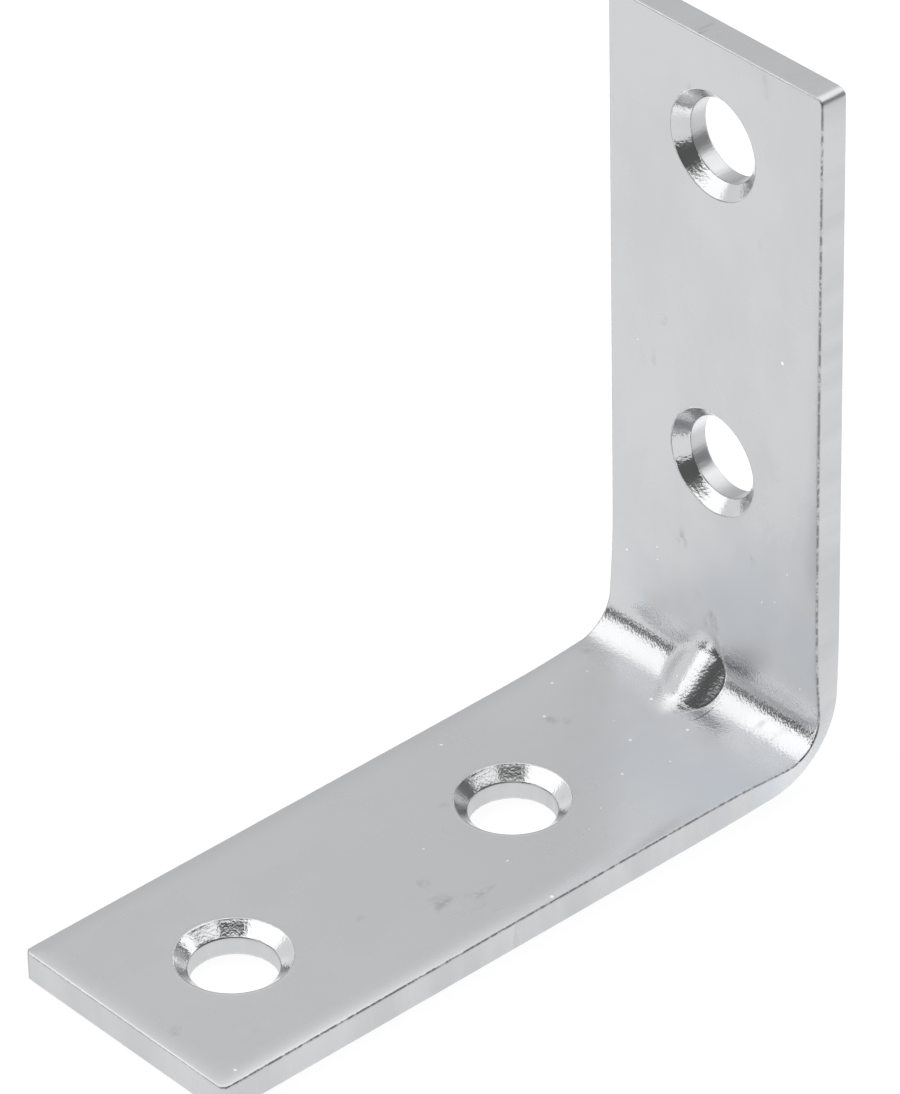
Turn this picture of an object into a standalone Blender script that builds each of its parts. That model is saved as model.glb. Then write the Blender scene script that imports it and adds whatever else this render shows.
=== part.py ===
"""Corner brace bracket: one steel strap, bent to a right angle, with a pressed rib across the inside
of the bend and two countersunk screw holes in line on each leg.

Frame: X across the strap, Y along the foot leg (the bend is at +Y), Z up the wall leg.
The origin is at the middle of the footprint, on the underside of the foot leg.
"""
import math

import bmesh
import bpy
from mathutils import Vector

mm = 0.001

# Driving dimensions
foot_length = 50.8 * mm          # from the back of the wall leg to the free end
wall_length = 49.55 * mm         # from the underside to the free end
strap_width = 18.4 * mm
thickness = 2.1 * mm
inner_bend_radius = 2.5 * mm
outer_bend_radius = 5.5 * mm     # pressed hard, so the wall thins a little at the bend
foot_holes = (19.15 * mm, 42.0 * mm)   # hole centres, from the back of the wall leg
wall_holes = (19.25 * mm, 42.35 * mm)  # hole centres, from the underside
hole_radius = 2.8 * mm
countersink_radius = 3.68 * mm
countersink_depth = 0.82 * mm
corner_radius = 0.6 * mm         # plan rounding of the free ends' corners
edge_rollover = 0.22 * mm        # rounding where the punch drew the inner face's edges down
bulge_inner = 0.42 * mm          # the inner side of a bend spreads sideways
bulge_outer = -0.18 * mm         # and the outer side draws in
bulge_reach = 3.2 * mm
rib_centre = -0.3 * mm           # the rib's crest line lies a little to one side of the middle
rib_spans = (2.7 * mm, 1.8 * mm)  # how far its left and right flanks reach
rib_powers = (1.6, 2.6)          # and how they fall away: higher is flatter on top and steeper below
rib_crest = 2.5 * mm             # all rib heights are along the 45 degree line out of the inner corner
rib_fall = 1.46 * mm             # from the crest to the ends of the spans
dent_radius = 1.5 * mm
dent_top_height = 0.7 * mm

back_y = foot_length / 2
bend_steps = 12
hole_steps = 48
rib_steps = 20
end_margin = 1.0 * mm            # how far a cutter runs past the face it cuts


def clear_scene():
    for obj in list(bpy.data.objects):
        bpy.data.objects.remove(obj, do_unlink=True)


def steel_material():
    """Bright zinc plating on mild steel."""
    material = bpy.data.materials.new("zinc_plated_steel")
    material.use_nodes = True
    shader = material.node_tree.nodes["Principled BSDF"]
    shader.inputs["Base Color"].default_value = (0.62, 0.63, 0.65, 1.0)
    shader.inputs["Metallic"].default_value = 1.0
    shader.inputs["Roughness"].default_value = 0.32
    return material


def new_object(name, bm):
    mesh = bpy.data.meshes.new(name)
    bmesh.ops.recalc_face_normals(bm, faces=bm.faces)
    bm.to_mesh(mesh)
    bm.free()
    obj = bpy.data.objects.new(name, mesh)
    bpy.context.scene.collection.objects.link(obj)
    return obj


def strap_stations():
    """Pairs of outer and inner points (y, z) along the strap, with the distance from mid-bend."""
    stations = []
    outer_centre = Vector((back_y - outer_bend_radius, outer_bend_radius))
    inner_offset = thickness + inner_bend_radius
    inner_centre = Vector((back_y - inner_offset, inner_offset))
    half_arc = inner_bend_radius * math.pi / 4
    straight = [1.5 * mm, 3.5 * mm, 6.0 * mm, 9.0 * mm]

    foot_runs = [back_y - inner_offset - step for step in reversed(straight)]
    for y in [-back_y] + foot_runs:
        distance = half_arc + (back_y - inner_offset - y)
        stations.append((Vector((y, 0.0)), Vector((y, thickness)), distance))
    for step in range(bend_steps + 1):
        angle = math.pi / 2 * step / bend_steps
        ray = Vector((math.sin(angle), -math.cos(angle)))
        distance = abs(angle - math.pi / 4) * inner_bend_radius
        outer = outer_centre + outer_bend_radius * ray
        inner = inner_centre + inner_bend_radius * ray
        stations.append((outer, inner, distance))
    wall_runs = [inner_offset + step for step in straight]
    for z in wall_runs + [wall_length]:
        distance = half_arc + (z - inner_offset)
        stations.append((Vector((back_y, z)), Vector((back_y - thickness, z)), distance))
    return stations


def bent_strap():
    """A rectangular section carried along the L, a little wider inside the bend than outside it."""
    bm = bmesh.new()
    rings = []
    for outer, inner, distance in strap_stations():
        spread = math.exp(-(distance / bulge_reach) ** 2 / 2)
        outer_half = strap_width / 2 + bulge_outer * spread
        inner_half = strap_width / 2 + bulge_inner * spread
        corners = [(-outer_half, outer), (outer_half, outer), (inner_half, inner), (-inner_half, inner)]
        rings.append([bm.verts.new((x, point.x, point.y)) for x, point in corners])
    for ring in (rings[0], rings[-1]):
        bm.faces.new(ring)
    for first, second in zip(rings, rings[1:]):
        for side in range(4):
            following = (side + 1) % 4
            bm.faces.new((first[side], first[following], second[following], second[side]))

    ends = [rings[0], rings[-1]]
    end_corners = [bm.edges.get((ring[a], ring[b])) for ring in ends for a, b in ((1, 2), (3, 0))]
    bmesh.ops.bevel(bm, geom=end_corners, offset=corner_radius, segments=4, profile=0.5, affect="EDGES")
    bmesh.ops.bevel(bm, geom=inner_face_edges(bm), offset=edge_rollover, segments=2, profile=0.5,
                    affect="EDGES", clamp_overlap=True)
    return new_object("corner_brace", bm)


def faces_inward(face):
    """True for the faces on the inside of the L: the foot's top, the wall's front and the bend between."""
    direction = face.normal.z - face.normal.y
    return abs(face.normal.x) < 0.3 and direction > 0.9


def inner_face_edges(bm):
    """The outline of the inside face, without the free ends' own faces."""
    bmesh.ops.recalc_face_normals(bm, faces=bm.faces)
    inner = set()
    for face in bm.faces:
        centre = face.calc_center_median()
        on_free_end = centre.y < -back_y + 0.01 * mm or centre.z > wall_length - 0.01 * mm
        if faces_inward(face) and not on_free_end:
            inner.add(face)
    return [edge for edge in bm.edges if sum(face in inner for face in edge.link_faces) == 1]


def screw_hole_cutters():
    """Turned cutters: a straight shank that opens into a cone at the inner face."""
    slope = (countersink_radius - hole_radius) / countersink_depth
    outline = [
        (0.0, -end_margin),
        (hole_radius, -end_margin),
        (hole_radius, thickness - countersink_depth),
        (countersink_radius + slope * end_margin, thickness + end_margin),
        (0.0, thickness + end_margin),
    ]
    across = Vector((1, 0, 0))
    placings = [(Vector((0, back_y - place, 0)), Vector((0, 0, 1))) for place in foot_holes]
    placings += [(Vector((0, back_y, place)), Vector((0, -1, 0))) for place in wall_holes]

    bm = bmesh.new()
    for centre, inward in placings:
        verts = [bm.verts.new(centre + radius * across + depth * inward) for radius, depth in outline]
        edges = [bm.edges.new(pair) for pair in zip(verts, verts[1:])]
        bmesh.ops.spin(bm, geom=verts + edges, cent=centre, axis=inward, angle=2 * math.pi,
                       steps=hole_steps, use_merge=True)
    bmesh.ops.remove_doubles(bm, verts=bm.verts, dist=0.001 * mm)
    return new_object("screw_hole_cutters", bm)


def corner_point(across, along, height):
    """A point from the inside corner: across X, along the 45 degree run, and out along its normal."""
    diagonal = math.sqrt(0.5)
    return Vector((
        across,
        back_y - thickness + (along - height) * diagonal,
        thickness + (along + height) * diagonal,
    ))


def diagonal_bar(name, section, reach):
    """A bar with this section (x, height), laid at 45 degrees across the inside corner.
    reach(height) is half its length at that height, so a bar can end parallel to the legs."""
    bm = bmesh.new()
    starts = [bm.verts.new(corner_point(x, -reach(height), height)) for x, height in section]
    ends = [bm.verts.new(corner_point(x, reach(height), height)) for x, height in section]
    bm.faces.new(starts)
    bm.faces.new(ends)
    for side in range(len(section)):
        following = (side + 1) % len(section)
        bm.faces.new((starts[side], starts[following], ends[following], ends[side]))
    return new_object(name, bm)


def pressed_rib():
    """The rib that stiffens the bend: a long slope on the left, a steeper one on the right.
    Each flank falls by rib_fall * (way from the crest line / span) ^ power, and is carried on a little
    further so that it sinks into the bend. The rib's ends sink into the legs' inner faces."""
    root_height = 0.5 * mm
    sunk = 0.7 * mm
    carried_on = 1.12
    section = []
    for side, span, power in zip((-1, 1), rib_spans, rib_powers):
        shares = [carried_on * step / rib_steps for step in range(rib_steps + 1)]
        flank = [(rib_centre + side * span * way, rib_crest - rib_fall * way ** power) for way in shares]
        section += list(reversed(flank)) if side < 0 else flank[1:]
    section.append((section[-1][0], root_height))
    section.append((section[0][0], root_height))
    return diagonal_bar("rib", section, lambda height: height + sunk)


def outside_dent():
    """The hollow that the same press leaves on the outside of the bend, behind the rib."""
    outside_height = -4.0 * mm
    dent_reach = 7.0 * mm
    section = [(rib_centre + dent_radius, outside_height)]
    for step in range(rib_steps + 1):
        angle = math.pi * step / rib_steps
        height = dent_top_height - dent_radius + dent_radius * math.sin(angle)
        section.append((rib_centre + dent_radius * math.cos(angle), height))
    section.append((rib_centre - dent_radius, outside_height))
    return diagonal_bar("outside_dent", section, lambda height: dent_reach)


def combine(target, tool, operation):
    """Boolean with a hidden tool, kept live on the target."""
    modifier = target.modifiers.new(tool.name, "BOOLEAN")
    modifier.operation = operation
    modifier.solver = "EXACT"
    modifier.object = tool
    tool.hide_render = True
    tool.display_type = "WIRE"


def smooth_with_sharp_edges(obj, angle):
    obj.data.shade_smooth()
    obj.data.set_sharp_from_angle(angle=angle)


clear_scene()
brace = bent_strap()
brace.data.materials.append(steel_material())
smooth_with_sharp_edges(brace, math.radians(25))
combine(brace, pressed_rib(), "UNION")
combine(brace, outside_dent(), "DIFFERENCE")
combine(brace, screw_hole_cutters(), "DIFFERENCE")
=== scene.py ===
import math

import bmesh
import bpy
import numpy as np
from mathutils import Matrix, Vector


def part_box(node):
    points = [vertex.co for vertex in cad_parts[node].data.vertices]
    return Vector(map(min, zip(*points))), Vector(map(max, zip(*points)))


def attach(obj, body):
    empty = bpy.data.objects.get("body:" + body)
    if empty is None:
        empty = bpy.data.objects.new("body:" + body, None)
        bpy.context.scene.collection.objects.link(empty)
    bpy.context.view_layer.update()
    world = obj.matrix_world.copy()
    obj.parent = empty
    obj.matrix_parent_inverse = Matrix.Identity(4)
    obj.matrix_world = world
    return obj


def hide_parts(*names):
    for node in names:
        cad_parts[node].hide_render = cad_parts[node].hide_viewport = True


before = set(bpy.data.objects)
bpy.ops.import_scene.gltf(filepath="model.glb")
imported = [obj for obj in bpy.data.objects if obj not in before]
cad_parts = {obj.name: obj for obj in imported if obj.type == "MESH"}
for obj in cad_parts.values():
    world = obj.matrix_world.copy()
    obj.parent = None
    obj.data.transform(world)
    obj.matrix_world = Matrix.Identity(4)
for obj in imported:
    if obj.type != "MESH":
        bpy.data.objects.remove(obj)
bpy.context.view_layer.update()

mm = 0.001
scene = bpy.context.scene
low, high = (np.array(corner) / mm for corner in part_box("corner_brace"))   # in millimetres


# The brace: one strap, all sizes in millimetres
brace = {
    "strapWidth": 18.4,
    "thickness": 2.1,
    "innerBend": 2.5,
    "outerBend": 5.5,
    "footHoles": (19.15, 42.0),      # from the back of the wall leg
    "wallHoles": (19.25, 42.35),     # from the underside
    "holeRadius": 2.8,
    "sinkRadius": 3.68,
    "sinkDepth": 0.82,
    "throatRound": 0.22,             # rounding between the countersink and the bore
    "rollWidth": 1.6,                # how far in the blanked edges are drawn down
    "sideRoll": 0.10,                # how much, along the sides
    "endRoll": 0.08,                 # and across the free ends
    "endLine": 0.5,                  # strength of the painted shade line across the free ends; along the sides it is 1
    "cornerFullness": 9.0,           # 2 is a round corner, higher is squarer
    "bulgeInner": 0.42,              # sideways spread of the bend's inner edge
    "bulgeOuter": -0.18,             # and of its outer edge
    "bulgeReach": 3.2,
    "ribCentre": -0.3,               # the rib's crest line, off the strap's middle
    "ribSpans": (2.7, 1.8),          # how far its left and right flanks reach
    "ribPowers": (1.6, 2.6),         # and how they fall: more is flatter on top, steeper below
    "ribCrest": 2.5,                 # rib heights are out of the inside corner, along its bisector
    "ribFall": 1.46,
    "ribSag": 0.007,                 # fall of its back, times the fourth power of the way along
    "ribBlends": (0.9, 0.16, 2.2),   # softness along its left and right flanks, and at its ends
    "blendTurn": 1.4,                # how far past the crest line the right flank's softness is reached
    "blendEnds": (1.0, 2.6),         # where the ends' softness starts and is reached, from mid-bend
    "rightKeeps": 0.9,               # how much of its own softness the right flank keeps at the ends
    "creaseAcross": 1.8,             # a short crease beside the rib's right foot, painted as a shade line with a small bump groove
    "creaseRuns": (-0.95, 1.1),      # from the foot leg into the bend
    "creaseFade": 0.3,               # how far from its ends it fades out
    "creaseWidth": 0.06,
    "dentRadius": 1.5,               # the hollow behind the rib, on the outside
    "dentTop": 0.7,
    "dentFall": 14,                  # steepness past its edges
    "dentBlends": (0.35, 0.35, 0.35),
    "holeBlock": 5.2,                # half length of the mesh block round each hole
}

halfWidth = brace["strapWidth"] / 2
thick = brace["thickness"]
bendArc = brace["innerBend"] * math.pi / 2
tangent = thick + brace["innerBend"]                  # from the heel to where the bend starts
footRun = high[1] - low[1] - tangent                  # straight length of the foot leg
wallRun = high[2] - low[2] - tangent                  # straight length of the wall leg


def bendLine(run):
    # Inner face seen from the side: a straight, a quarter circle of the inner radius, a straight.
    # Gives (y, z), the inward normal, and the wall left between that and the outer arc.
    # run is 0 where the bend starts on the foot, below 0 along the foot, past bendArc up the wall leg.
    angle = np.clip(run / brace["innerBend"], 0, math.pi / 2)
    past = run - np.clip(run, 0, bendArc)
    y = high[1] - tangent + brace["innerBend"] * np.sin(angle) + np.minimum(past, 0)
    z = low[2] + tangent - brace["innerBend"] * np.cos(angle) + np.maximum(past, 0)
    outer, shift = brace["outerBend"], brace["outerBend"] - tangent
    both = np.sin(angle) + np.cos(angle)
    inBend = np.sqrt(shift**2 * (both**2 - 2) + outer**2) - shift * both - brace["innerBend"]
    early = np.maximum(shift - np.abs(past), 0)
    onLeg = thick - (outer - np.sqrt(outer**2 - early**2))
    wall = np.where(past == 0, inBend, onLeg)
    return y, z, -np.sin(angle), np.cos(angle), wall


def onStrap(across, run, height):
    # Takes flat strap coordinates to the bent strap: along the inner face by run, then down its normal
    # by the depth below the face. Near the bend x grows by the bulge * (x / half width)^6.
    y, z, normalY, normalZ, wall = bendLine(run)
    depth = thick - height
    depth = np.where(depth > 0, depth * wall / thick, depth)
    share = np.clip(height / thick, 0, 1)
    bulge = brace["bulgeInner"] * share + brace["bulgeOuter"] * (1 - share)
    near = np.exp(-((run - bendArc / 2) / brace["bulgeReach"]) ** 2 / 2)
    x = across + np.sign(across) * bulge * near * np.abs(across / halfWidth) ** 6
    return np.stack([x, y - normalY * depth, z - normalZ * depth], axis=-1)


def ribProfile(x):
    # Height of the rib's back out of the corner: crest - fall * (way from the crest line / span)^power,
    # with a span and a power for each side, so the left flank is a long slope and the right one drops off
    way = x - brace["ribCentre"]
    span, power = (np.where(way < 0, *brace[key]) for key in ("ribSpans", "ribPowers"))
    return brace["ribCrest"] - brace["ribFall"] * np.abs(way / span) ** power


def dentProfile(x):
    # Half round of the dent's radius, falling steeply past it
    share = np.abs(x - brace["ribCentre"]) / brace["dentRadius"]
    arch = np.sqrt(np.maximum(1 - share**2, 0)) - brace["dentFall"] * np.maximum(share - 1, 0)
    return brace["dentTop"] - brace["dentRadius"] * (1 - arch)


def smoothStep(way):
    # 0 up to a way of 0, 1 from a way of 1 on, and way^2 * (3 - 2 * way) between
    way = np.clip(way, 0, 1)
    return way**2 * (3 - 2 * way)


def raised(points, profile, sag, blends):
    # Lays a ridge at 45 degrees over the inside corner. Heights are out of the corner along its bisector.
    # The ridge is profile(x) - sag * along^4, and the new height is the smooth maximum of old and ridge:
    # the larger plus blend * (1 - |gap| / blend)^3 / 6. The blend goes from the left flank's to the right
    # flank's across the crest, and widens towards the ridge's two ends, except beside the right flank.
    leftBlend, rightBlend, endBlend = blends
    corner = np.array([high[1] - thick, low[2] + thick])
    rel = points[..., 1:] - corner
    along = (rel[..., 0] + rel[..., 1]) / math.sqrt(2)
    out = (rel[..., 1] - rel[..., 0]) / math.sqrt(2)
    ridge = profile(points[..., 0]) - sag * along**4
    gap = ridge - out
    toRight = smoothStep((points[..., 0] - brace["ribCentre"]) / brace["blendTurn"])
    endStart, endReached = brace["blendEnds"]
    toEnd = smoothStep((np.abs(along) - endStart) / (endReached - endStart))
    toEnd = toEnd * (1 - brace["rightKeeps"] * toRight)
    blend = leftBlend + (rightBlend - leftBlend) * toRight
    blend = blend + (endBlend - blend) * toEnd
    out = np.maximum(out, ridge) + blend * np.maximum(1 - np.abs(gap) / blend, 0) ** 3 / 6
    return np.stack([points[..., 0], corner[0] + (along - out) / math.sqrt(2),
                     corner[1] + (along + out) / math.sqrt(2)], axis=-1)


# Lines across the strap: close together over the rib and its crease, wider apart beside them.
# Each stop is (x, steps from it to the next stop).
inside = halfWidth - brace["rollWidth"]
crease, creaseSide = brace["creaseAcross"], brace["creaseWidth"]
acrossStops = [
    (-inside, 15),
    (brace["ribCentre"] - brace["ribSpans"][0] - 0.4, 25),   # a little outside the left flank's foot
    (brace["ribCentre"], 11),
    (brace["ribCentre"] + brace["ribSpans"][1] - 0.5, 14),   # where the right flank is steep
    (crease - creaseSide, 1), (crease, 1), (crease + creaseSide, 19),
    (inside, 0),
]
acrossLines = np.concatenate(
    [np.linspace(start, end, steps + 1)[:-1]
     for (start, steps), (end, _) in zip(acrossStops, acrossStops[1:])] + [[inside]])

# Stretches along the strap, from the foot's free end to the wall leg's: (start, end, steps), or the
# centre of a hole
holeRuns = [tangent - place for place in reversed(brace["footHoles"])]
holeRuns += [bendArc + place - tangent for place in brace["wallHoles"]]
block = brace["holeBlock"]
footEnd, wallEnd = -footRun + brace["rollWidth"], bendArc + wallRun - brace["rollWidth"]
stretches = [
    (footEnd, holeRuns[0] - block, 4), holeRuns[0],
    (holeRuns[0] + block, holeRuns[1] - block, 12), holeRuns[1],
    (holeRuns[1] + block, 0.0, 34),
    (0.0, bendArc, 26),
    (bendArc, holeRuns[2] - block, 34), holeRuns[2],
    (holeRuns[2] + block, holeRuns[3] - block, 12), holeRuns[3],
    (holeRuns[3] + block, wallEnd, 2),
]
blockSteps = 40      # along each side of a hole's block
cornerSteps = 9      # round each free corner


def stretchLines(item):
    # Evenly spaced runs along one stretch, or along the block round one hole
    if isinstance(item, tuple):
        return np.linspace(item[0], item[1], item[2] + 1)
    return np.linspace(item - block, item + block, blockSteps + 1)


patches = []   # each is (points grid, strap coordinates grid, finish grid, closed ring or not)


def keepPatch(across, run, height, finish, ring=False, press=None):
    # Bends one grid and keeps it. finish is (edge line of painted shade, sheared, countersunk), each 0 to 1
    # over the grid.
    across, run, height = np.broadcast_arrays(across, run, height)
    points = onStrap(across, run, height)
    if press == "rib":
        points = raised(points, ribProfile, brace["ribSag"], brace["ribBlends"])
    if press == "dent":
        points = raised(points, dentProfile, 0, brace["dentBlends"])
    marks = np.stack([np.broadcast_to(part, across.shape) for part in finish], axis=-1)
    patches.append((points, np.stack([across, run, height], axis=-1), marks, ring))


def creaseShadeLine(across, run):
    # A bell curve across the crease, times a ramp up from each of its ends; it goes into the edge line as
    # painted shade
    first, last = brace["creaseRuns"]
    bell = np.exp(-((across - brace["creaseAcross"]) / brace["creaseWidth"]) ** 2)
    return bell * np.clip(np.minimum(run - first, last - run) / brace["creaseFade"], 0, 1)


def flatPatch(start, end, steps):
    # A plain grid on the inner face and one on the outer face. At the bend they take the rib and the dent.
    # The inner grid's edge line carries the crease's painted shade.
    run = np.linspace(start, end, steps + 1)[:, None]
    nearBend = start > holeRuns[1] and end < holeRuns[2]
    mark = creaseShadeLine(acrossLines[None], run)
    keepPatch(acrossLines[None], run, thick, (mark, 0, 0), press="rib" if nearBend else None)
    keepPatch(acrossLines[None], run, 0.0, (0, 0, 0), press="dent" if nearBend else None)


def blockRing():
    # Outline of a hole's block, once round, as offsets from the hole's centre
    side = np.linspace(-block, block, blockSteps + 1)
    x = np.concatenate([acrossLines[:-1], np.full(blockSteps, inside), acrossLines[:0:-1],
                        np.full(blockSteps, -inside)])
    y = np.concatenate([np.full(len(acrossLines) - 1, -block), side[:-1],
                        np.full(len(acrossLines) - 1, block), side[:0:-1]])
    return x, y


def sinkProfile():
    # Rows of (blend, radius, height, edge line, sheared, countersunk). Blend 0 is the block's outline and
    # 1 is the circle of that radius. The throat is a parabola between the cone and the bore.
    radius, bore, depth = brace["sinkRadius"], brace["holeRadius"], brace["sinkDepth"]
    slant = np.array([radius - bore, depth]) / math.hypot(radius - bore, depth)
    meet = np.array([bore, thick - depth])
    reach = brace["throatRound"] * math.tan(math.acos(slant[1]) / 2)
    first, last = meet + slant * reach, meet - np.array([0, reach])
    flat, boreFlat = radius + 0.24, bore + 0.2   # the innermost circles that lie in the two faces
    rows = [(blend, flat, thick, 0, 0, 0) for blend in (0, 0.22, 0.42, 0.6, 0.76, 0.88, 0.96, 1)]
    rows += [(1, radius + 0.13, thick, 0, 0, 0), (1, radius + 0.07, thick + 0.008, 0.3, 0, 0.2),
             (1, radius + 0.02, thick + 0.004, 0.6, 0, 0.6), (1, radius - 0.03, thick - 0.022, 0.2, 0, 1)]
    rim = np.array([radius, thick])
    for part in (0.08, 0.25, 0.5, 0.75):
        r, h = rim + (first - rim) * part
        rows.append((1, r, h, 0, 0, 1))
    for part in np.linspace(0, 1, 7):
        r, h = (1 - part) ** 2 * first + 2 * part * (1 - part) * meet + part**2 * last
        rows.append((1, r, h, 0, part, 1 - part))
    for height in np.linspace(last[1], 0.1, 7)[1:]:
        rows.append((1, bore, height, 0, 1, 0))
    rows += [(1, bore + 0.004, 0.05, 0.5, 1, 0), (1, bore + 0.025, 0.012, 1, 0.5, 0)]
    rows += [(1, bore + 0.07, 0, 0.4, 0, 0)]
    rows += [(blend, boreFlat, 0, 0, 0, 0) for blend in (1, 0.95, 0.85, 0.68, 0.45, 0.22, 0)]
    return np.array(rows)


def holePatch(centre):
    # One ring per row of the profile: outline * (1 - blend) + circle * blend
    x, y = blockRing()
    unitX, unitY = x / np.hypot(x, y), y / np.hypot(x, y)
    rows = sinkProfile()
    blend, radius, height = (rows[:, k, None] for k in range(3))
    across = x * (1 - blend) + unitX * radius * blend
    run = centre + y * (1 - blend) + unitY * radius * blend
    keepPatch(across, run, height, [rows[:, k, None] for k in (3, 4, 5)], ring=True)


def edgeBand():
    # The strap's whole rim as one ring: the inner face rolls down by roll * (way out)^3, turns into the
    # sheared wall, and turns again into the outer face. At the corners the way out is a superellipse of
    # cornerFullness.
    sideLines = np.concatenate([stretchLines(item)[:-1] for item in stretches] + [[wallEnd]])
    turn = np.linspace(0, math.pi / 2, cornerSteps + 1)[1:-1]
    width, full = brace["rollWidth"], brace["cornerFullness"]
    reach = (np.cos(turn) ** full + np.sin(turn) ** full) ** (-1 / full)
    fan = np.stack([reach * np.cos(turn), reach * np.sin(turn)])
    count, rows = len(acrossLines), len(sideLines)

    def straight(base, way):
        # One way out for every point of a straight side
        return np.vstack([base, np.repeat(np.array(way, float)[:, None], base.shape[1], axis=1)])

    def corner(x, run, ways):
        # A fan of ways out from one point
        return np.vstack([np.repeat([[x], [run]], ways.shape[1], axis=1), ways])

    parts = [
        straight(np.stack([acrossLines, np.full(count, footEnd)]), (0, -1)),
        corner(inside, footEnd, np.stack([fan[1], -fan[0]])),
        straight(np.stack([np.full(rows, inside), sideLines]), (1, 0)),
        corner(inside, wallEnd, fan),
        straight(np.stack([acrossLines[::-1], np.full(count, wallEnd)]), (0, 1)),
        corner(-inside, wallEnd, np.stack([-fan[1], fan[0]])),
        straight(np.stack([np.full(rows, -inside), sideLines[::-1]]), (-1, 0)),
        corner(-inside, footEnd, -fan),
    ]
    x, run, wayX, wayRun = np.hstack(parts)
    endShare = wayRun**2 / (wayX**2 + wayRun**2)
    roll = brace["sideRoll"] + (brace["endRoll"] - brace["sideRoll"]) * endShare

    # Rows of (inset, extra drop, edge line, sheared); the roll itself is worked out from the inset
    top = np.array([(width, 0, 0, 0), (1.36, 0, 0, 0), (1.1, 0, 0, 0), (0.84, 0, 0, 0), (0.6, 0, 0, 0),
                    (0.4, 0, 0, 0), (0.25, 0, 0.05, 0), (0.14, 0, 0.2, 0), (0.075, 0.002, 0.5, 0),
                    (0.034, 0.012, 0.9, 0.2), (0.01, 0.035, 1, 0.7), (0.0, 0.075, 0.7, 1)])
    # Rows of (way down, edge line) on the sheared wall
    side = np.array([(0.06, 0.3), (0.16, 0.1), (0.3, 0), (0.45, 0), (0.6, 0), (0.75, 0), (0.88, 0),
                     (0.96, 0.05)])
    # Rows of (inset, height, edge line, sheared) round to the outer face
    under = np.array([(0.0, 0.055, 0.2, 1), (0.006, 0.022, 0.4, 0.6), (0.028, 0.005, 0.4, 0.2),
                      (0.07, 0, 0.1, 0), (0.16, 0, 0, 0), (0.4, 0, 0, 0), (0.9, 0, 0, 0), (width, 0, 0, 0)])
    topHeight = thick - roll * ((width - top[:, :1]) / width) ** 3 - top[:, 1:2]
    sideHeight = topHeight[-1] * (1 - side[:, :1]) + under[0, 1] * side[:, :1]
    underHeight = np.repeat(under[:, 1:2], roll.size, axis=1)
    height = np.vstack([topHeight, sideHeight, underHeight])
    way = width - np.vstack([top[:, :1], np.zeros((len(side), 1)), under[:, :1]])
    line = np.vstack([top[:, 2:3], side[:, 1:], under[:, 2:3]]) * (1 - (1 - brace["endLine"]) * endShare)
    sheared = np.vstack([top[:, 3:], np.ones((len(side), 1)), under[:, 3:]])
    keepPatch(x + wayX * way, run + wayRun * way, height, (line, sheared, 0), ring=True)


def joinPatches(name):
    # Grids become quads. Points that round to the same place become one, so the seams close, and quads
    # that lose a side become triangles.
    roundTo = 1e4   # per millimetre, so to a tenth of a micrometre
    points, straps, marks, quads = [], [], [], []
    start = 0
    for grid, strap, mark, ring in patches:
        rows, columns = grid.shape[:2]
        index = start + np.arange(rows * columns).reshape(rows, columns)
        if ring:
            index = np.hstack([index, index[:, :1]])
        corners = [index[:-1, :-1], index[:-1, 1:], index[1:, 1:], index[1:, :-1]]
        quads.append(np.stack(corners, axis=-1).reshape(-1, 4))
        points.append(grid.reshape(-1, 3))
        straps.append(strap.reshape(-1, 3))
        marks.append(mark.reshape(-1, 3))
        start += rows * columns
    points, straps, marks, quads = (np.concatenate(part) for part in (points, straps, marks, quads))
    rounded = np.round(points * roundTo).astype(np.int64)
    _, first, same = np.unique(rounded, axis=0, return_index=True, return_inverse=True)
    quads = same.reshape(-1)[quads]
    points, straps, marks = points[first] * mm, straps[first], marks[first]
    closed = quads == np.roll(quads, -1, axis=1)
    whole = quads[~closed.any(axis=1)]
    part = quads[closed.sum(axis=1) == 1]
    triangles = part[~(part == np.roll(part, -1, axis=1))].reshape(-1, 3)
    mesh = bpy.data.meshes.new(name)
    mesh.from_pydata(points.tolist(), [], whole.tolist() + triangles.tolist())
    # Material 2 where mostly countersunk, 1 where mostly sheared, 0 elsewhere
    mostly = 0.5
    faceMarks = np.concatenate([marks[whole].mean(axis=1), marks[triangles].mean(axis=1)])
    kind = np.where(faceMarks[:, 2] > mostly, 2, np.where(faceMarks[:, 1] > mostly, 1, 0))
    mesh.polygons.foreach_set("material_index", kind.astype(np.int32))
    strapPlace = mesh.attributes.new("strapPlace", "FLOAT_VECTOR", "POINT")
    strapPlace.data.foreach_set("vector", (straps * mm).astype(np.float32).ravel())
    finish = mesh.attributes.new("finish", "FLOAT_COLOR", "POINT")
    colours = np.hstack([marks, np.ones((len(marks), 1))])
    finish.data.foreach_set("color", colours.astype(np.float32).ravel())
    mesh.validate()
    piece = bpy.data.objects.new(name, mesh)
    scene.collection.objects.link(piece)
    return piece


def faceOutwards(piece):
    # Faces are turned to agree with each other, then all outwards if the volume comes out negative
    shell = bmesh.new()
    shell.from_mesh(piece.data)
    bmesh.ops.recalc_face_normals(shell, faces=shell.faces)
    openEdges = sum(not edge.is_manifold for edge in shell.edges)
    if shell.calc_volume(signed=True) < 0:
        bmesh.ops.reverse_faces(shell, faces=shell.faces)
    print("open edges", openEdges, "volume", shell.calc_volume() / mm**3, "mm3")
    shell.to_mesh(piece.data)
    shell.free()
    piece.data.shade_smooth()


for item in stretches:
    if isinstance(item, tuple):
        flatPatch(*item)
    else:
        holePatch(item)
edgeBand()
strapPiece = joinPatches("cornerBrace")
faceOutwards(strapPiece)
print("strap made,", len(strapPiece.data.polygons), "faces")


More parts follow.
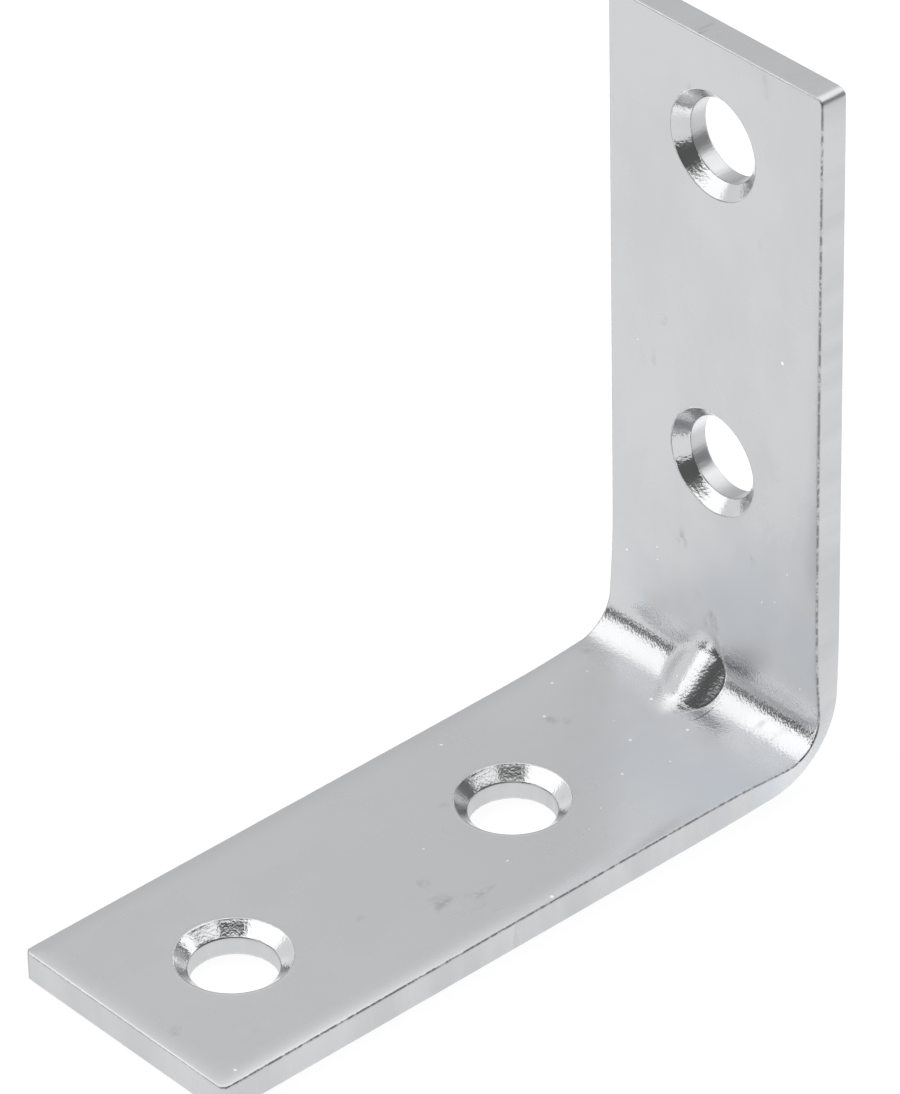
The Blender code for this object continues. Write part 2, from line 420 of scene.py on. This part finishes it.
# Shader helpers
def addNode(tree, kind, settings, inputs):
    # Settings are the node's own options; an input is a value, or a socket to link from
    made = tree.nodes.new(kind)
    for key, value in settings.items():
        setattr(made, key, value)
    for key, value in inputs.items():
        if isinstance(value, bpy.types.NodeSocket):
            tree.links.new(value, made.inputs[key])
        else:
            made.inputs[key].default_value = value
    return made


def mathOf(tree, operation, first, second=0.0, third=0.0, clamp=False):
    # One sum on up to three values; "MULTIPLY_ADD" is first * second + third
    made = addNode(tree, "ShaderNodeMath", {"operation": operation, "use_clamp": clamp},
                   {0: first, 1: second, 2: third})
    return made.outputs[0]


def rangeOf(tree, value, start, end, lowValue=0.0, highValue=1.0):
    # Smoothly from lowValue at start to highValue at end
    made = addNode(tree, "ShaderNodeMapRange", {"interpolation_type": "SMOOTHSTEP"},
                   {"Value": value, "From Min": start, "From Max": end,
                    "To Min": lowValue, "To Max": highValue})
    return made.outputs["Result"]


def mixOf(tree, share, first, second):
    # Sockets 6 and 7 and output 2 are the node's colours
    made = addNode(tree, "ShaderNodeMix", {"data_type": "RGBA"}, {0: share, 6: first, 7: second})
    return made.outputs[2]


def stretched(tree, place, factors):
    # A place times a factor for each axis, so a pattern on it is longer where the factor is small
    made = addNode(tree, "ShaderNodeVectorMath", {"operation": "MULTIPLY"}, {0: place, 1: factors})
    return made.outputs[0]


def noiseOf(tree, place, scale, detail=2.0, roughness=0.5):
    # Soft noise between 0 and 1, scale blobs to the metre
    made = addNode(tree, "ShaderNodeTexNoise", {},
                   {"Vector": place, "Scale": scale, "Detail": detail, "Roughness": roughness})
    return made.outputs["Fac"]


def newGroup(name, inputs, outputs):
    # inputs and outputs are (name, kind of socket); returns the tree and its two end nodes
    tree = bpy.data.node_groups.new(name, "ShaderNodeTree")
    for label, kind in inputs:
        tree.interface.new_socket(label, in_out="INPUT", socket_type=kind)
    for label, kind in outputs:
        tree.interface.new_socket(label, in_out="OUTPUT", socket_type=kind)
    return tree, tree.nodes.new("NodeGroupInput").outputs, tree.nodes.new("NodeGroupOutput").inputs


vectorKind, colourKind, valueKind = "NodeSocketVector", "NodeSocketColor", "NodeSocketFloat"

# The plating's patterns. Scales are per metre, and reaches are metres from the middle of the bend.
plating = {
    "cloudScale": 190,
    "fineScale": 1500, "fineShare": 0.28,                   # finer clouds mixed into the soft ones
    "castScale": 120, "castShare": 0.8,                     # bluish, round the bend
    "swellScale": 420,
    "speckScale": 1800, "speckLeast": 0.07, "speckSpread": 0.15,   # radii in cell widths
    "speckHeight": 0.4,
    "smudgeScale": 330, "smudgeBreakScale": 2600, "smudgeRough": 0.2,
    "gnawScale": 2300, "lineStrength": 0.85, "lineDepth": 0.8,
    "pressedReach": (0.0021, 0.0040), "pressedPebble": 1.5, "pressedRough": -0.07,
    "aroundReach": (0.004, 0.017), "aroundSpecks": 0.07,
}


def platingTone():
    # Bright and dull zinc in soft clouds a few millimetres across, with a bluish cast in places
    tree, given, made = newGroup("platingTone", [("Place", vectorKind), ("Bright", colourKind),
                                                 ("Dull", colourKind), ("Cast", colourKind),
                                                 ("Cast Share", valueKind)],
                                 [("Color", colourKind), ("Cloud", valueKind)])
    cloud = rangeOf(tree, noiseOf(tree, given["Place"], plating["cloudScale"], 3.5, 0.55), 0.33, 0.67)
    fine = noiseOf(tree, given["Place"], plating["fineScale"], 3.0, 0.6)
    mixed = mathOf(tree, "ADD", mathOf(tree, "MULTIPLY", cloud, 1 - plating["fineShare"]),
                   mathOf(tree, "MULTIPLY", fine, plating["fineShare"]))
    colour = mixOf(tree, mixed, given["Dull"], given["Bright"])
    cast = rangeOf(tree, noiseOf(tree, given["Place"], plating["castScale"], 2.0, 0.5), 0.50, 0.66)
    colour = mixOf(tree, mathOf(tree, "MULTIPLY", cast, given["Cast Share"]), colour, given["Cast"])
    tree.links.new(colour, made["Color"])
    tree.links.new(cloud, made["Cloud"])
    return tree


def pressGrain():
    # Height of the pressed surface: a fine pebble over a slow swell
    tree, given, made = newGroup("pressGrain", [("Place", vectorKind), ("Pebble Scale", valueKind),
                                                ("Pebble", valueKind), ("Swell", valueKind)],
                                 [("Height", valueKind)])
    pebble = noiseOf(tree, given["Place"], given["Pebble Scale"], 1.0, 0.5)
    swell = noiseOf(tree, given["Place"], plating["swellScale"], 1.5, 0.5)
    height = mathOf(tree, "ADD", mathOf(tree, "MULTIPLY", pebble, given["Pebble"]),
                    mathOf(tree, "MULTIPLY", swell, given["Swell"]))
    tree.links.new(height, made["Height"])
    return tree


def specksAndGlints():
    # Tiny nodules in the plating, used for their bump and their painted glint: the cores of scattered cells,
    # kept in a share of the cells by chance
    tree, given, made = newGroup("specksAndGlints", [("Place", vectorKind), ("Scale", valueKind),
                                                   ("Share", valueKind)], [("Mask", valueKind)])
    cells = addNode(tree, "ShaderNodeTexVoronoi", {}, {"Vector": given["Place"], "Scale": given["Scale"]})
    parts = addNode(tree, "ShaderNodeSeparateColor", {}, {"Color": cells.outputs["Color"]})
    size = mathOf(tree, "MULTIPLY_ADD", parts.outputs[1], plating["speckSpread"], plating["speckLeast"])
    core = mathOf(tree, "LESS_THAN", cells.outputs["Distance"], size)
    chosen = mathOf(tree, "LESS_THAN", parts.outputs[0], given["Share"])
    tree.links.new(mathOf(tree, "MULTIPLY", core, chosen), made["Mask"])
    return tree


def handlingSmudges():
    # Grey smudges a millimetre or two across, broken up by a finer noise
    tree, given, made = newGroup("handlingSmudges", [("Place", vectorKind), ("Share", valueKind)],
                                 [("Mask", valueKind)])
    wide = rangeOf(tree, noiseOf(tree, given["Place"], plating["smudgeScale"], 2.0, 0.5), 0.66, 0.80)
    broken = rangeOf(tree, noiseOf(tree, given["Place"], plating["smudgeBreakScale"], 3.0, 0.6), 0.36, 0.62)
    mask = mathOf(tree, "MULTIPLY", mathOf(tree, "MULTIPLY", wide, broken), given["Share"], clamp=True)
    tree.links.new(mask, made["Mask"])
    return tree


def brokenShadeLine():
    # The line of painted shade along an edge, which also cuts a small groove in the bump: its mask, gnawed
    # away by noise along the edge
    tree, given, made = newGroup("brokenShadeLine", [("Line", valueKind), ("Place", vectorKind),
                                                ("Strength", valueKind)], [("Mask", valueKind)])
    gnawing = noiseOf(tree, given["Place"], plating["gnawScale"], 3.0, 0.7)
    gnawed = rangeOf(tree, gnawing, 0.36, 0.56, 0.2, 1.0)
    line = rangeOf(tree, given["Line"], 0.25, 0.80)
    mask = mathOf(tree, "MULTIPLY", mathOf(tree, "MULTIPLY", line, gnawed), given["Strength"], clamp=True)
    tree.links.new(mask, made["Mask"])
    return tree


groupMakers = (platingTone, pressGrain, specksAndGlints, handlingSmudges, brokenShadeLine)
groups = {make.__name__: make() for make in groupMakers}

# Three finishes of the same plated steel: the inner and outer faces, the sheared edges and bores, and
# the countersinks. Bumps are in metres, scales per metre, and stretch is along (x, run, height).
finishes = {
    "zincFace": {
        "bright": (0.632, 0.640, 0.650, 1), "dull": (0.598, 0.606, 0.618, 1),
        "cast": (0.585, 0.612, 0.648, 1),
        "stretch": (1, 0.7, 1), "roughness": (0.25, 0.31), "pebbleScale": 7500,
        "pebble": 0.15, "swell": 0.15, "bump": 0.000014, "smudge": 0.5, "speck": 0.012, "bendRough": 0.06,
    },
    "zincShear": {
        "bright": (0.64, 0.645, 0.655, 1), "dull": (0.56, 0.567, 0.58, 1), "cast": (0.56, 0.59, 0.62, 1),
        "stretch": (1.4, 1.4, 0.25), "roughness": (0.26, 0.38), "pebbleScale": 4200,
        "pebble": 0.8, "swell": 0.9, "bump": 0.000012, "smudge": 0.5, "speck": 0.01, "bendRough": 0.0,
    },
    "zincCoined": {
        "bright": (0.68, 0.685, 0.69, 1), "dull": (0.60, 0.605, 0.61, 1), "cast": (0.58, 0.60, 0.63, 1),
        "stretch": (1, 1, 1), "roughness": (0.11, 0.17), "pebbleScale": 5600,
        "pebble": 0.9, "swell": 0.3, "bump": 0.000014, "smudge": 0.3, "speck": 0.0, "bendRough": 0.0,
    },
}
darkStainAndShade = (0.16, 0.16, 0.165, 1)      # stained steel in the smudges, and painted shade in the edge and crease lines
# White of the nodules: a painted glint
noduleGlint = (0.98, 0.98, 0.98, 1)


def zincFinish(name, look):
    # Tone from clouds, smudges, specks with a painted glint and the edge line of painted shade, laid over
    # each other; bump from the grain
    material = bpy.data.materials.new(name)
    material.use_nodes = True
    tree = material.node_tree
    shader = tree.nodes["Principled BSDF"]
    strapPlace = addNode(tree, "ShaderNodeAttribute", {"attribute_name": "strapPlace"}, {}).outputs["Vector"]
    marks = addNode(tree, "ShaderNodeAttribute", {"attribute_name": "finish"}, {}).outputs["Color"]
    line = addNode(tree, "ShaderNodeSeparateColor", {}, {"Color": marks}).outputs[0]
    place = stretched(tree, strapPlace, look["stretch"])

    def use(group, inputs):
        return addNode(tree, "ShaderNodeGroup", {"node_tree": groups[group]}, inputs).outputs

    # Pressing leaves a coarser, shinier pebble at the bend, with bluish clouds and nodules with a painted
    # glint some way round it
    run = addNode(tree, "ShaderNodeSeparateXYZ", {}, {"Vector": strapPlace}).outputs[1]
    fromBend = mathOf(tree, "ABSOLUTE", mathOf(tree, "SUBTRACT", run, bendArc / 2 * mm))
    pressed = rangeOf(tree, fromBend, *plating["pressedReach"], 1.0, 0.0)
    around = rangeOf(tree, fromBend, *plating["aroundReach"], 1.0, 0.0)

    castShare = mathOf(tree, "MULTIPLY", around, plating["castShare"])
    tone = use("platingTone", {"Place": place, "Bright": look["bright"], "Dull": look["dull"],
                               "Cast": look["cast"], "Cast Share": castShare})
    smudge = use("handlingSmudges", {"Place": place, "Share": look["smudge"]})["Mask"]
    speckShare = mathOf(tree, "MULTIPLY_ADD", around, plating["aroundSpecks"], look["speck"])
    speck = use("specksAndGlints", {"Place": strapPlace, "Scale": plating["speckScale"],
                                  "Share": speckShare})["Mask"]
    edge = use("brokenShadeLine", {"Line": line, "Place": strapPlace,
                              "Strength": plating["lineStrength"]})["Mask"]

    pebble = mathOf(tree, "MULTIPLY_ADD", pressed, plating["pressedPebble"], look["pebble"])
    height = use("pressGrain", {"Place": place, "Pebble Scale": look["pebbleScale"], "Pebble": pebble,
                                "Swell": look["swell"]})["Height"]
    height = mathOf(tree, "ADD", height, mathOf(tree, "MULTIPLY", speck, plating["speckHeight"]))
    height = mathOf(tree, "SUBTRACT", height, mathOf(tree, "MULTIPLY", edge, plating["lineDepth"]))
    bump = addNode(tree, "ShaderNodeBump", {}, {"Height": height, "Distance": look["bump"], "Strength": 1.0})

    colour = mixOf(tree, smudge, tone["Color"], darkStainAndShade)
    # Specks: nodules in the bump, with their glint painted white in the colour
    colour = mixOf(tree, speck, colour, noduleGlint)
    # Edge and crease lines: dark colour painted where the edges and the crease fall into shade
    colour = mixOf(tree, edge, colour, darkStainAndShade)
    smooth, rough = look["roughness"]
    roughness = rangeOf(tree, tone["Cloud"], 0.0, 1.0, rough, smooth)
    roughness = mathOf(tree, "ADD", roughness, mathOf(tree, "MULTIPLY", smudge, plating["smudgeRough"]))
    roughness = mathOf(tree, "MULTIPLY_ADD", around, look["bendRough"], roughness)
    roughness = mathOf(tree, "MULTIPLY_ADD", pressed, plating["pressedRough"] - look["bendRough"],
                       roughness, clamp=True)
    tree.links.new(colour, shader.inputs["Base Color"])
    tree.links.new(roughness, shader.inputs["Roughness"])
    tree.links.new(bump.outputs["Normal"], shader.inputs["Normal"])
    shader.inputs["Metallic"].default_value = 1.0
    return material


for name, look in finishes.items():
    strapPiece.data.materials.append(zincFinish(name, look))
print("finishes made,", ", ".join(finishes))
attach(strapPiece, "root")
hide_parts("corner_brace")


# The floor: a wide pale sheet that glows a little
floorLook = {
    "halfSize": 0.8, "gap": 0.0002,      # metres
    "colour": (0.15, 0.15, 0.15, 1), "roughness": 0.9,
    "cameraGlow": 0.88,                  # as the camera sees it
    "lowGlow": 0.83, "steepGlow": 1.35,  # as the metal sees it, from the side and from straight above
    "glowTurn": (0.10, 0.38),            # facing where the steep glow ends and the low one starts
}


def floorSheet(look):
    # A square grid of 2 by 2 points, the gap under the brace
    half, level = look["halfSize"], low[2] * mm - look["gap"]
    x, y = np.meshgrid([-half, half], [-half, half])
    corners = np.stack([x, y, np.full_like(x, level)], axis=-1).reshape(-1, 3)
    mesh = bpy.data.meshes.new("floor")
    mesh.from_pydata(corners.tolist(), [], [(0, 1, 3, 2)])
    sheet = bpy.data.objects.new("floor", mesh)
    scene.collection.objects.link(sheet)
    paper = bpy.data.materials.new("paper")
    paper.use_nodes = True
    shader = paper.node_tree.nodes["Principled BSDF"]
    shader.inputs["Base Color"].default_value = look["colour"]
    shader.inputs["Roughness"].default_value = look["roughness"]
    shader.inputs["Emission Color"].default_value = (1, 1, 1, 1)
    tree = paper.node_tree
    facing = addNode(tree, "ShaderNodeLayerWeight", {}, {"Blend": 0.5}).outputs["Facing"]
    glow = rangeOf(tree, facing, *look["glowTurn"], look["steepGlow"], look["lowGlow"])
    seen = tree.nodes.new("ShaderNodeLightPath").outputs["Is Camera Ray"]
    change = mathOf(tree, "SUBTRACT", look["cameraGlow"], glow)
    tree.links.new(mathOf(tree, "MULTIPLY_ADD", seen, change, glow), shader.inputs["Emission Strength"])
    mesh.materials.append(paper)
    return sheet


floorSheet(floorLook)

# Studio: soft panels far away in a dim room, each painted over the ones before it. Turn is a panel's
# bearing from the front towards the left and rise its height above the floor, both in degrees. Width,
# height and soft edge are as seen from one metre away, and level is its brightness.
panels = {
    "crown": {"turn": 0, "rise": 90, "width": 1.9, "height": 1.84, "soft": 0.22, "level": 1.4},
    "key": {"turn": 66, "rise": 39, "width": 1.44, "height": 0.68, "soft": 0.05, "level": 1.6},
    "front": {"turn": 5, "rise": 45, "width": 0.70, "height": 0.28, "soft": 0.04, "level": 1.7},
    "low": {"turn": 10, "rise": 9, "width": 0.52, "height": 0.54, "soft": 0.06, "level": 1.3},
    "back": {"turn": 182, "rise": 28, "width": 1.20, "height": 1.30, "soft": 0.12, "level": 1.5},
    "left": {"turn": 92, "rise": 12, "width": 1.26, "height": 0.62, "soft": 0.06, "level": 0.95},
    "fill": {"turn": 129, "rise": 30, "width": 0.86, "height": 0.74, "soft": 0.22, "level": 0.72},
    "flag": {"turn": -50, "rise": 65, "width": 0.72, "height": 0.40, "soft": 0.08, "level": 0.10},
}
room = {"dim": 0.12, "backdrop": 1.0}


def panelMask(tree, direction, look):
    # The panel's plane is one metre off, square to its bearing. Across and up are the direction's parts
    # over its depth. The mask falls smoothly to 0 over the soft edge, and is 0 behind.
    turn, rise = math.radians(look["turn"]), math.radians(look["rise"])
    axes = [(-math.sin(turn) * math.cos(rise), -math.cos(turn) * math.cos(rise), math.sin(rise)),
            (-math.cos(turn), math.sin(turn), 0),
            (math.sin(turn) * math.sin(rise), math.cos(turn) * math.sin(rise), math.cos(rise))]
    depth, across, up = (addNode(tree, "ShaderNodeVectorMath", {"operation": "DOT_PRODUCT"},
                                 {0: direction, 1: axis}).outputs["Value"] for axis in axes)
    leastDepth = 0.05
    mask = mathOf(tree, "GREATER_THAN", depth, leastDepth)
    for part, size in ((across, look["width"]), (up, look["height"])):
        off = mathOf(tree, "ABSOLUTE", mathOf(tree, "DIVIDE", part, depth))
        full, none = size / 2 - look["soft"], size / 2 + look["soft"]
        mask = mathOf(tree, "MULTIPLY", mask, rangeOf(tree, off, full, none, 1.0, 0.0))
    return mask


def studioWorld():
    # The brace sees the panels and the dim room; the camera itself sees a pale backdrop
    world = bpy.data.worlds.new("studio")
    world.use_nodes = True
    tree = world.node_tree
    tree.nodes.clear()
    direction = tree.nodes.new("ShaderNodeTexCoord").outputs["Generated"]
    total = room["dim"]
    for look in panels.values():
        change = mathOf(tree, "SUBTRACT", look["level"], total)
        total = mathOf(tree, "MULTIPLY_ADD", panelMask(tree, direction, look), change, total)
    white = (1, 1, 1, 1)
    studio = addNode(tree, "ShaderNodeBackground", {}, {"Color": white, "Strength": total})
    backdrop = addNode(tree, "ShaderNodeBackground", {}, {"Color": white, "Strength": room["backdrop"]})
    seen = tree.nodes.new("ShaderNodeLightPath").outputs["Is Camera Ray"]
    pick = addNode(tree, "ShaderNodeMixShader", {}, {0: seen, 1: studio.outputs[0], 2: backdrop.outputs[0]})
    output = tree.nodes.new("ShaderNodeOutputWorld")
    tree.links.new(pick.outputs[0], output.inputs["Surface"])
    return world


scene.world = studioWorld()
print("floor laid, studio lit by", len(panels), "soft panels")

# Camera: a long lens, from the front right and above, rolled a little
view = {
    "turn": 48.533, "rise": 35.055, "roll": -1.242,     # degrees
    "distance": 472.07, "aim": (-0.881, 2.306, 22.593),  # millimetres
    "lens": 258.18, "sensor": 36,                       # millimetres
    "nearest": 0.01,                                    # metres
}


def cameraMatrix(look):
    # Columns are right, up and back: back points from the aim to the camera, and roll turns right and up
    # round it
    turn, rise, roll = (math.radians(look[key]) for key in ("turn", "rise", "roll"))
    back = Vector((math.sin(turn) * math.cos(rise), -math.cos(turn) * math.cos(rise), math.sin(rise)))
    right = Vector((math.cos(turn), math.sin(turn), 0))
    up = back.cross(right)
    right, up = (math.cos(roll) * right + math.sin(roll) * up, math.cos(roll) * up - math.sin(roll) * right)
    place = Vector(look["aim"]) * mm + back * look["distance"] * mm
    matrix = Matrix((right, up, back)).transposed().to_4x4()
    matrix.translation = place
    return matrix


cameraData = bpy.data.cameras.new("camera")
cameraData.lens = view["lens"]
cameraData.sensor_width = view["sensor"]
cameraData.clip_start = view["nearest"]
camera = bpy.data.objects.new("camera", cameraData)
camera.matrix_world = cameraMatrix(view)
scene.collection.objects.link(camera)
scene.camera = camera
scene.view_settings.view_transform = "Standard"
print("camera placed, lens", view["lens"], "mm")
